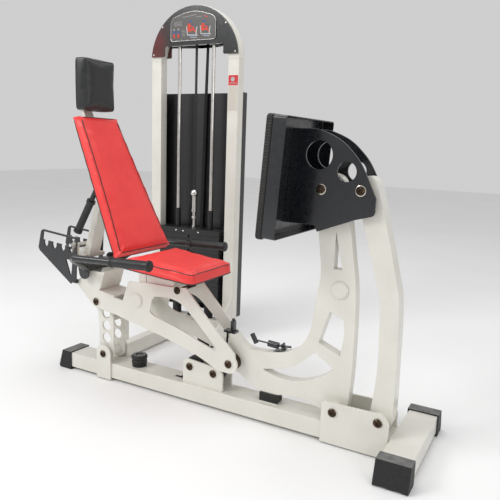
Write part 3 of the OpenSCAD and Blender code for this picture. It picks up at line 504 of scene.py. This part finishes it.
class Cushion:
    """A padded piece: a board-backed foam block, blown up by cloth pressure, with a piped seam."""

    def __init__(self, name, node, place, face, shrink, cap, seam_depth, body, colours, fill, extra_seams=()):
        self.name = name
        self.place = place
        self.face = Vector(face)
        start = self.remeshed(node, shrink)
        shape = self.blown(start, cap)
        piece = self.cut_and_coloured(shape, seam_depth, body, colours, [seam_depth, *extra_seams])
        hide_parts(node)

    def remeshed(self, node, shrink):
        """The node's solid in the cushion's frame, remeshed, drawn in and softened at its edges."""
        work = bmesh.new()
        work.from_mesh(nodes[node].data)
        bmesh.ops.transform(work, matrix=self.place.inverted(), verts=work.verts)
        bmesh.ops.remove_doubles(work, verts=work.verts, dist=0.00001)
        obj = new_piece(self.name + "_form", mesh_from(self.name, work), None, None)
        voxels = obj.modifiers.new("voxels", "REMESH")
        voxels.mode = "VOXEL"
        voxels.voxel_size = 0.006
        mesh = bpy.data.meshes.new_from_object(obj.evaluated_get(bpy.context.evaluated_depsgraph_get()))
        bpy.data.objects.remove(obj)
        work = bmesh.new()
        work.from_mesh(mesh)
        work.normal_update()
        bottom = min(v.co.dot(self.face) for v in work.verts)
        for _ in range(3):
            bmesh.ops.smooth_vert(work, verts=work.verts, factor=0.5,
                                  use_axis_x=True, use_axis_y=True, use_axis_z=True)
        work.normal_update()
        for v in work.verts:
            if v.co.dot(self.face) > bottom + 0.003:
                v.co -= v.normal * shrink
        work.to_mesh(mesh)
        work.free()
        return mesh

    def blown(self, mesh, cap):
        obj = new_piece(self.name + "_sim", mesh, None, None)
        rest = [v.co.copy() for v in mesh.vertices]
        bottom = min(co.dot(self.face) for co in rest)
        held = obj.vertex_groups.new(name="board")
        held.add([i for i, co in enumerate(rest) if co.dot(self.face) < bottom + 0.006], 1.0, "REPLACE")
        cloth = obj.modifiers.new("cloth", "CLOTH")
        settings = cloth.settings
        settings.quality = 4
        settings.mass = 0.35
        settings.tension_stiffness = 18
        settings.compression_stiffness = 18
        settings.bending_stiffness = 1.2
        settings.use_pressure = True
        settings.uniform_pressure_force = 4.0
        settings.effector_weights.gravity = 0.0
        settings.vertex_group_mass = "board"
        cloth.collision_settings.use_collision = False
        cloth.point_cache.frame_start = 1
        cloth.point_cache.frame_end = 20
        scene = bpy.context.scene
        for step in range(1, 21):
            scene.frame_set(step)
        result = bpy.data.meshes.new_from_object(obj.evaluated_get(bpy.context.evaluated_depsgraph_get()))
        scene.frame_set(1)
        bpy.data.objects.remove(obj)
        for v, co in zip(result.vertices, rest):
            travel = v.co - co
            if travel.length > 1e-9:
                v.co = co + travel.normalized() * cap * math.tanh(travel.length / cap)
        return result

    def cut_and_coloured(self, mesh, seam_depth, body, colours, seams):
        work = bmesh.new()
        work.from_mesh(mesh)
        for _ in range(2):
            bmesh.ops.smooth_vert(work, verts=work.verts, factor=0.4,
                                  use_axis_x=True, use_axis_y=True, use_axis_z=True)
        for number, depth in enumerate(seams):
            everything = [*work.verts, *work.edges, *work.faces]
            cut = bmesh.ops.bisect_plane(work, geom=everything, dist=0.0004,
                                         plane_co=self.face * -depth, plane_no=self.face)
            edges = [e for e in cut["geom_cut"] if isinstance(e, bmesh.types.BMEdge)]
            self.piping(number, edges, body, colours[1])
        for f in work.faces:
            f.material_index = 0 if f.calc_center_median().dot(self.face) > -seam_depth else 1
            f.smooth = True
        final = bpy.data.meshes.new(self.name)
        work.to_mesh(final)
        work.free()
        final.materials.clear()
        for material in colours:
            final.materials.append(material)
        piece = new_piece(self.name, final, None, body, self.place)
        finer = piece.modifiers.new("finer", "SUBSURF")
        finer.levels = finer.render_levels = 1
        return piece

    def piping(self, number, edges, body, material):
        """A welt sewn into the seam: the cut's outermost points in order round the cushion, evened out."""
        up = Vector((0, 1, 0))
        across = self.face.cross(up)
        spots = {v for e in edges for v in e.verts}
        middle = sum((v.co for v in spots), Vector()) / len(spots)
        outermost = {}
        for v in spots:
            arm = v.co - middle
            turn = round(math.atan2(arm.dot(up), arm.dot(across)) / WELT_STEP)
            if turn not in outermost or arm.length > (outermost[turn] - middle).length:
                outermost[turn] = v.co.copy()
        points = [outermost[turn] for turn in sorted(outermost)]
        for _ in range(4):
            points = [(points[i - 1] + points[i] * 2 + points[(i + 1) % len(points)]) / 4
                      for i in range(len(points))]
        welt = tube(f"{self.name}_welt_{number}", points, 0.0019, material, closed=True)
        welt.matrix_world = self.place
        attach(welt, body)


Cushion("seat_pad", "seat_cushion", SEAT_FRAME, (0, 0, 1), 0.004, 0.009, 0.007, "seat",
        (RED, BLACK_VINYL), 0.85, extra_seams=(0.040,))
Cushion("back_pad", "back_cushion", BACK_FRAME, (1, 0, 0), 0.004, 0.009, 0.006, "back",
        (RED, BLACK_VINYL), 0.85, extra_seams=(0.034,))
Cushion("head_pad", "head_cushion", HEAD_FRAME, (1, 0, 0), 0.003, 0.006, 0.013, "back",
        (BLACK_VINYL, BLACK_VINYL), 0.9, extra_seams=(0.058,))


# ---------- bolts, screws and washers ----------

def bolt_rims():
    """A bright dished washer under each bolt head."""
    profile = [(0.0135, 0.0), (0.0172, 0.0), (0.0178, 0.0008),
               (0.0176, 0.0017), (0.0160, 0.0024), (0.0135, 0.0024)]
    for body in sorted({b[3] for b in BOLTS}):
        work = bmesh.new()
        for x, z, out, owner in BOLTS:
            if owner != body:
                continue
            for side in (-1, 1):
                closed_ring(work, profile, facing((x, RAIL_Y + side * out, z), (0, side, 0)))
        rim = new_piece(f"bolt_rims_{body}", mesh_from("bolt_rims", work), BRIGHT, body)
        smooth_shading(rim)


def screw(work, point, direction, radius):
    """A domed screw head with a shallow round hollow sunk in its top."""
    dome = [(radius, 0.0), (radius, radius * 0.15), (radius * 0.92, radius * 0.36),
            (radius * 0.7, radius * 0.55), (radius * 0.4, radius * 0.66),
            (radius * 0.34, radius * 0.45), (radius * 0.1, radius * 0.4)]
    turned(work, dome, facing(point, direction), 24)


def cover_screws():
    work = bmesh.new()
    for x in (-0.246, 0.247):
        screw(work, (TOWER_X + x, COVER_FRONT_Y, 1.449), (0, -1, 0), 0.0045)
    for x in (-0.19, 0.19):
        screw(work, (TOWER_X + x, COVER_FRONT_Y, 1.585), (0, -1, 0), 0.0045)
    head_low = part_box("head_plate")[0]
    screws = new_piece("cover_screws", mesh_from("cover_screws", work), CHROME, "base")
    smooth_shading(screws)
    work = bmesh.new()
    for x in (-0.082, -0.036, 0.06):
        screw(work, (TOWER_X + x, head_low.y, 0.543), (0, -1, 0), 0.0048)
    screws = new_piece("head_plate_screws", mesh_from("head_plate_screws", work), CHROME, "weight_head")
    smooth_shading(screws)


bolt_rims()
cover_screws()


# ---------- welds ----------

def weld_bead(work, a, b, size=0.0032, step=0.0026):
    """A row of overlapping ripples from a to b."""
    a, b = Vector(a), Vector(b)
    count = max(2, round((b - a).length / step))
    for i in range(count + 1):
        spot = a.lerp(b, i / count)
        wobble = 0.0003 * math.sin(i * 2.399)
        place = Matrix.Translation(spot + Vector((0, 0, wobble))) @ Matrix.Diagonal((size, size, size, 1))
        bmesh.ops.create_uvsphere(work, u_segments=8, v_segments=5, radius=1.0, matrix=place)


def welds(name, body, lines):
    work = bmesh.new()
    for a, b in lines:
        weld_bead(work, a, b)
    piece = new_piece(name, mesh_from(name, work), CREAM, body)
    smooth_shading(piece)


def rail_welds():
    top = 0.076
    side = 0.050
    lines = []
    for out in (-side, side):
        y = RAIL_Y + out
        edge = y + math.copysign(0.001, out)
        lines.append(((0.505, edge, top), (0.73, edge, top)))
    for out in (-0.038, 0.038):
        lines.append(((-0.086, RAIL_Y + out, top), (0.088, RAIL_Y + out, top)))
    lines += [
        ((0.243, RAIL_Y - 0.025, top), (0.315, RAIL_Y - 0.025, top)),
        ((-0.604, RAIL_Y + side, top), (-0.554, RAIL_Y + side, top)),
        ((0.740, RAIL_Y - side, 0.016), (0.740, RAIL_Y - side, 0.074)),
        ((0.740, RAIL_Y + side, 0.016), (0.740, RAIL_Y + side, 0.074)),
        ((0.740, RAIL_Y - side, top), (0.740, RAIL_Y + side, top)),
        ((-0.845, TOWER_FRONT_Y, top), (-0.784, TOWER_FRONT_Y, top)),
        ((-0.375, TOWER_FRONT_Y, top), (-0.314, TOWER_FRONT_Y, top)),
    ]
    welds("rail_welds", "base", lines)


rail_welds()


# ---------- grips ----------

def ribbed_grip(name, node, ends, radius, body, flange):
    """A foam grip with moulded rings, a rolled inner lip and a domed end."""
    work = bmesh.new()
    for root, tip in ends:
        root, tip = Vector(root), Vector(tip)
        length = (tip - root).length
        profile = [(radius * 0.8, 0.0), (radius * 1.16, 0.0005), (radius * 1.2, 0.003),
                   (radius * 1.16, 0.0065), (radius, 0.008)]
        ribs = int((length - 0.032) / 0.0042)
        for i in range(ribs):
            base = 0.010 + i * 0.0042
            profile += [(radius, base), (radius + 0.00045, base + 0.0012), (radius + 0.00045, base + 0.0026),
                        (radius, base + 0.0036)]
        profile += [(radius, length - 0.013), (flange, length - 0.0105), (flange + 0.0005, length - 0.006),
                    (flange - 0.001, length - 0.0015), (flange - 0.004, length),
                    (radius * 0.5, length + 0.0006), (0.0008, length + 0.0008)]
        turned(work, profile, facing(root, tip - root), 40)
    piece = new_piece(name, mesh_from(name, work), GRIP, body)
    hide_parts(node)
    smooth_shading(piece)


def seat_grips():
    tip = Vector((-0.083, 0, 0.577))
    root = tip - Vector((0.357, 0, 0.015)).normalized() * 0.178
    sides = [Vector((0, RAIL_Y + out, 0)) for out in (-0.252, 0.252)]
    ends = [(root + side, tip + side) for side in sides]
    ribbed_grip("seat_grips", "handle_grips", ends, 0.017, "seat", 0.0205)


seat_grips()


# ---------- belt and cable that follow the motion ----------

def flat_belt():
    """The run above the stack: a flat belt in many short steps, so that it can shorten as the stack rises."""
    low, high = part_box("stack_belt")
    turn = math.atan2(54, 34) - math.pi / 2
    across = Vector((math.cos(turn), math.sin(turn), 0)) * 0.013
    through = Vector((-math.sin(turn), math.cos(turn), 0)) * 0.0015
    middle = Vector(((low.x + high.x) / 2, (low.y + high.y) / 2, 0))
    work = bmesh.new()
    rings = []
    for i in range(33):
        z = Vector((0, 0, low.z + (high.z - low.z) * i / 32))
        rings.append([work.verts.new(middle + z + across * a + through * b)
                      for a, b in ((-1, -0.7), (-0.96, -1), (0.96, -1), (1, -0.7),
                                   (1, 0.7), (0.96, 1), (-0.96, 1), (-1, 0.7))])
    for a, b in zip(rings, rings[1:]):
        for i in range(8):
            work.faces.new((a[i], a[(i + 1) % 8], b[(i + 1) % 8], b[i]))
    work.faces.new(rings[0])
    work.faces.new(rings[-1])
    belt = new_piece("stack_belt_run", mesh_from("stack_belt_run", work), WEAVE, "base")
    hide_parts("stack_belt")
    smooth_shading(belt)
    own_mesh(belt)


def nose_cable():
    """The cable from the front pulley to the arm's nose, which swings with the arm."""
    start = Vector((0.0803, RAIL_Y, 0.138))
    end = Vector((0.087, RAIL_Y, 0.306))
    points = [start.lerp(end, i / 24) for i in range(25)]
    cable = tube("nose_cable", points, 0.004, CABLE)
    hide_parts("arm_cable")
    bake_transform(cable)


flat_belt()
nose_cable()


# ---------- placard and labels ----------

def plaque(name, corners, y, thickness, material, body="base"):
    """A thin plate with its face toward -Y, from [x, z] corners."""
    work = bmesh.new()
    front = [work.verts.new((x, y - thickness, z)) for x, z in corners]
    back = [work.verts.new((x, y, z)) for x, z in corners]
    work.faces.new(front)
    work.faces.new(back)
    for i in range(len(corners)):
        j = (i + 1) % len(corners)
        work.faces.new((front[i], front[j], back[j], back[i]))
    piece = new_piece(name, mesh_from(name, work), material, body)
    return piece


def rounded(x0, z0, x1, z1, r, steps=6):
    centres = ((x1 - r, z0 + r, -90), (x1 - r, z1 - r, 0), (x0 + r, z1 - r, 90), (x0 + r, z0 + r, 180))
    turns = [(cx, cz, math.radians(a + 90 * i / steps)) for cx, cz, a in centres for i in range(steps + 1)]
    return [(cx + r * math.cos(t), cz + r * math.sin(t)) for cx, cz, t in turns]


def capsule(work, a, b, r, y, thickness=0.0005):
    """A flat limb with round ends, from a to b in the [x, z] plane."""
    a, b = Vector(a), Vector(b)
    way = math.atan2(b.y - a.y, b.x - a.x)
    outline = [(a.x + r * math.cos(way + t), a.y + r * math.sin(way + t))
               for t in [math.pi / 2 + math.pi * i / 6 for i in range(7)]]
    outline += [(b.x + r * math.cos(way + t), b.y + r * math.sin(way + t))
                for t in [-math.pi / 2 + math.pi * i / 6 for i in range(7)]]
    front = [work.verts.new((x, y - thickness, z)) for x, z in outline]
    back = [work.verts.new((x, y, z)) for x, z in outline]
    work.faces.new(front)
    work.faces.new(back)
    for i in range(len(outline)):
        j = (i + 1) % len(outline)
        work.faces.new((front[i], front[j], back[j], back[i]))


def placard_rim():
    """A bright bead round the placard's edge."""
    low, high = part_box("placard")
    face = [v.co for v in nodes["placard"].data.vertices if v.co.y < low.y + 0.0005]
    rim = {(round(co.x, 5), round(co.z, 5)) for co in face}
    middle = Vector(((low.x + high.x) / 2, (low.z + high.z) / 2))
    ordered = sorted(rim, key=lambda p: math.atan2(p[1] - middle.y, p[0] - middle.x))
    inset = [middle + (Vector(p) - middle) * 0.985 for p in ordered]
    bead = tube("placard_rim", [(p.x, low.y, p.y) for p in inset], 0.0013, CHROME, "base", closed=True)


# How far each ink stands above the one under it, so that overlapping figures don't share a plane.
INK_LIFT = {"red": 0.00016, "blue": 0.0, "pale": 0.0003}


def pictograms():
    """Generic figures: two standing, two seated at a press, with plain bars for lines of print."""
    y = PLACARD_FRONT_Y
    groups = {"red": [], "blue": [], "pale": []}
    for x in (-0.694, -0.667):
        groups["pale"] += [((x, 1.567), (x, 1.568), 0.0036)]
        groups["blue"] += [((x, 1.557), (x, 1.550), 0.0045), ((x - 0.006, 1.558), (x - 0.009, 1.545), 0.0016),
                           ((x + 0.006, 1.558), (x + 0.009, 1.545), 0.0016)]
        groups["red"] += [((x - 0.0025, 1.546), (x - 0.003, 1.528), 0.0024),
                          ((x + 0.0025, 1.546), (x + 0.003, 1.528), 0.0024)]
    for x, size in ((-0.585, 1.0), (-0.505, 0.92)):
        def at(dx, dz):
            return (x + dx * size, 1.560 + dz * size)
        groups["blue"] += [(at(-0.010, 0.040), at(-0.010, 0.041), 0.007 * size),
                           (at(-0.012, -0.026), at(0.018, -0.030), 0.004 * size),
                           (at(0.004, 0.022), at(0.012, 0.006), 0.004 * size)]
        groups["red"] += [(at(-0.016, 0.026), at(-0.020, 0.002), 0.0085 * size),
                          (at(-0.018, -0.002), at(0.010, 0.004), 0.0058 * size),
                          (at(0.010, 0.004), at(0.022, -0.008), 0.0042 * size),
                          (at(-0.006, 0.020), at(0.012, 0.012), 0.003 * size)]
        groups["pale"] += [(at(-0.032, 0.018), at(-0.026, -0.022), 0.0028 * size),
                           (at(-0.026, -0.022), at(0.034, -0.026), 0.0028 * size),
                           (at(0.030, 0.012), at(0.026, -0.020), 0.0034 * size),
                           (at(-0.010, -0.033), at(0.030, -0.036), 0.0016 * size)]
    for row, z in enumerate((1.604, 1.598, 1.592, 1.586)):
        groups["pale"].append(((-0.694, z), (-0.650 + 0.006 * (row % 2), z), 0.0006))
    for row, z in enumerate((1.563, 1.556, 1.549, 1.542, 1.535)):
        groups["pale"].append(((-0.645, z), (-0.628 + 0.003 * (row % 3), z), 0.0006))
    groups["pale"].append(((-0.640, 1.624), (-0.560, 1.632), 0.0008))
    groups["pale"].append(((-0.560, 1.622), (-0.530, 1.620), 0.0007))
    groups["red"].append(((-0.512, 1.624), (-0.492, 1.615), 0.0020))
    for name, material in (("red", INK_RED), ("blue", INK_BLUE), ("pale", INK_PALE)):
        work = bmesh.new()
        for layer, (a, b, r) in enumerate(groups[name]):
            capsule(work, a, b, r, y, 0.0004 + 0.00002 * (layer % 7) + INK_LIFT[name])
        piece = new_piece(f"pictograms_{name}", mesh_from(name, work), material, "base")


def labels():
    y = TOWER_FRONT_Y
    edge = 0.0008
    red = plaque("label_red", rounded(-0.3715, 1.290, -0.3175, 1.338, 0.002), y, 0.0006, LABEL_RED)
    beige = plaque("label_beige", rounded(-0.3715, 1.168, -0.3175, 1.288, 0.002), y, 0.0006, LABEL_BEIGE)
    work = bmesh.new()
    ring = rounded(-0.358, 1.308, -0.336, 1.330, 0.0108, 8)
    front = [work.verts.new((x, y - 0.0009, z)) for x, z in ring]
    back = [work.verts.new((x, y - 0.0005, z)) for x, z in ring]
    work.faces.new(front)
    work.faces.new(back)
    for i in range(len(ring)):
        j = (i + 1) % len(ring)
        work.faces.new((front[i], front[j], back[j], back[i]))
    for z in (1.302, 1.297):
        capsule(work, (-0.366, z), (-0.324, z), edge, y - 0.0005, 0.0004)
    for row in range(9):
        z = 1.276 - 0.012 * row
        capsule(work, (-0.366, z), (-0.330 - 0.004 * (row % 3), z), 0.0005, y - 0.0005, 0.0003)
    marks = new_piece("label_marks", mesh_from("label_marks", work), INK_PALE, "base")


placard_rim()
pictograms()
labels()


# ---------- floor, light and camera ----------

def floor():
    mesh = bpy.data.meshes.new("floor")
    work = bmesh.new()
    bmesh.ops.create_grid(work, x_segments=8, y_segments=8, size=14.0)
    work.to_mesh(mesh)
    work.free()
    s = Shader("floor_paper", roughness=0.75)
    s.paint(s.mix(s.spread(s.noise(1.5, 3.0), 0.3, 0.7), (0.86, 0.86, 0.86), (0.88, 0.88, 0.88)))
    piece = new_piece("floor", mesh, s.mat, None, Matrix.Translation((0, 0, -0.0005)))


def area_light(name, place, target, size, power, colour=(1, 1, 1)):
    data = bpy.data.lights.new(name, "AREA")
    data.shape = "RECTANGLE"
    data.size, data.size_y = size
    data.energy = power
    data.color = colour
    light = bpy.data.objects.new(name, data)
    bpy.context.scene.collection.objects.link(light)
    way = Vector(target) - Vector(place)
    light.matrix_world = Matrix.Translation(place) @ way.to_track_quat("-Z", "Y").to_matrix().to_4x4()


def studio():
    world = bpy.data.worlds.new("studio")
    bpy.context.scene.world = world
    world.use_nodes = True
    back = world.node_tree.nodes["Background"]
    back.inputs["Color"].default_value = (1.0, 1.0, 1.0, 1)
    back.inputs["Strength"].default_value = 0.62
    area_light("key", (-2.4, -3.2, 3.4), (0, 0, 0.6), (2.2, 1.6), 95)
    area_light("fill", (3.6, -2.6, 2.2), (0.2, -0.2, 0.6), (1.6, 2.2), 22)
    area_light("top", (0.2, 0.0, 4.2), (0, 0, 0), (3.0, 3.0), 60)


def camera():
    """The lens and place that give the machine the perspective it is seen in."""
    data = bpy.data.cameras.new("camera")
    data.lens = 41.4
    data.sensor_width = 36.0
    data.clip_end = 60
    eye = bpy.data.objects.new("camera", data)
    bpy.context.scene.collection.objects.link(eye)
    forward = Vector((-0.470, 0.864, -0.178)).normalized()
    right = Vector((0.875, 0.483, 0.034))
    right = (right - forward * right.dot(forward)).normalized()
    up = right.cross(forward)
    spot = Vector((1.150, RAIL_Y - 1.800, 1.000))
    turn = Matrix((right, up, -forward)).transposed().to_4x4()
    eye.matrix_world = Matrix.Translation(spot) @ turn
    bpy.context.scene.camera = eye


floor()
studio()
camera()
bpy.context.scene.view_settings.view_transform = "Standard"
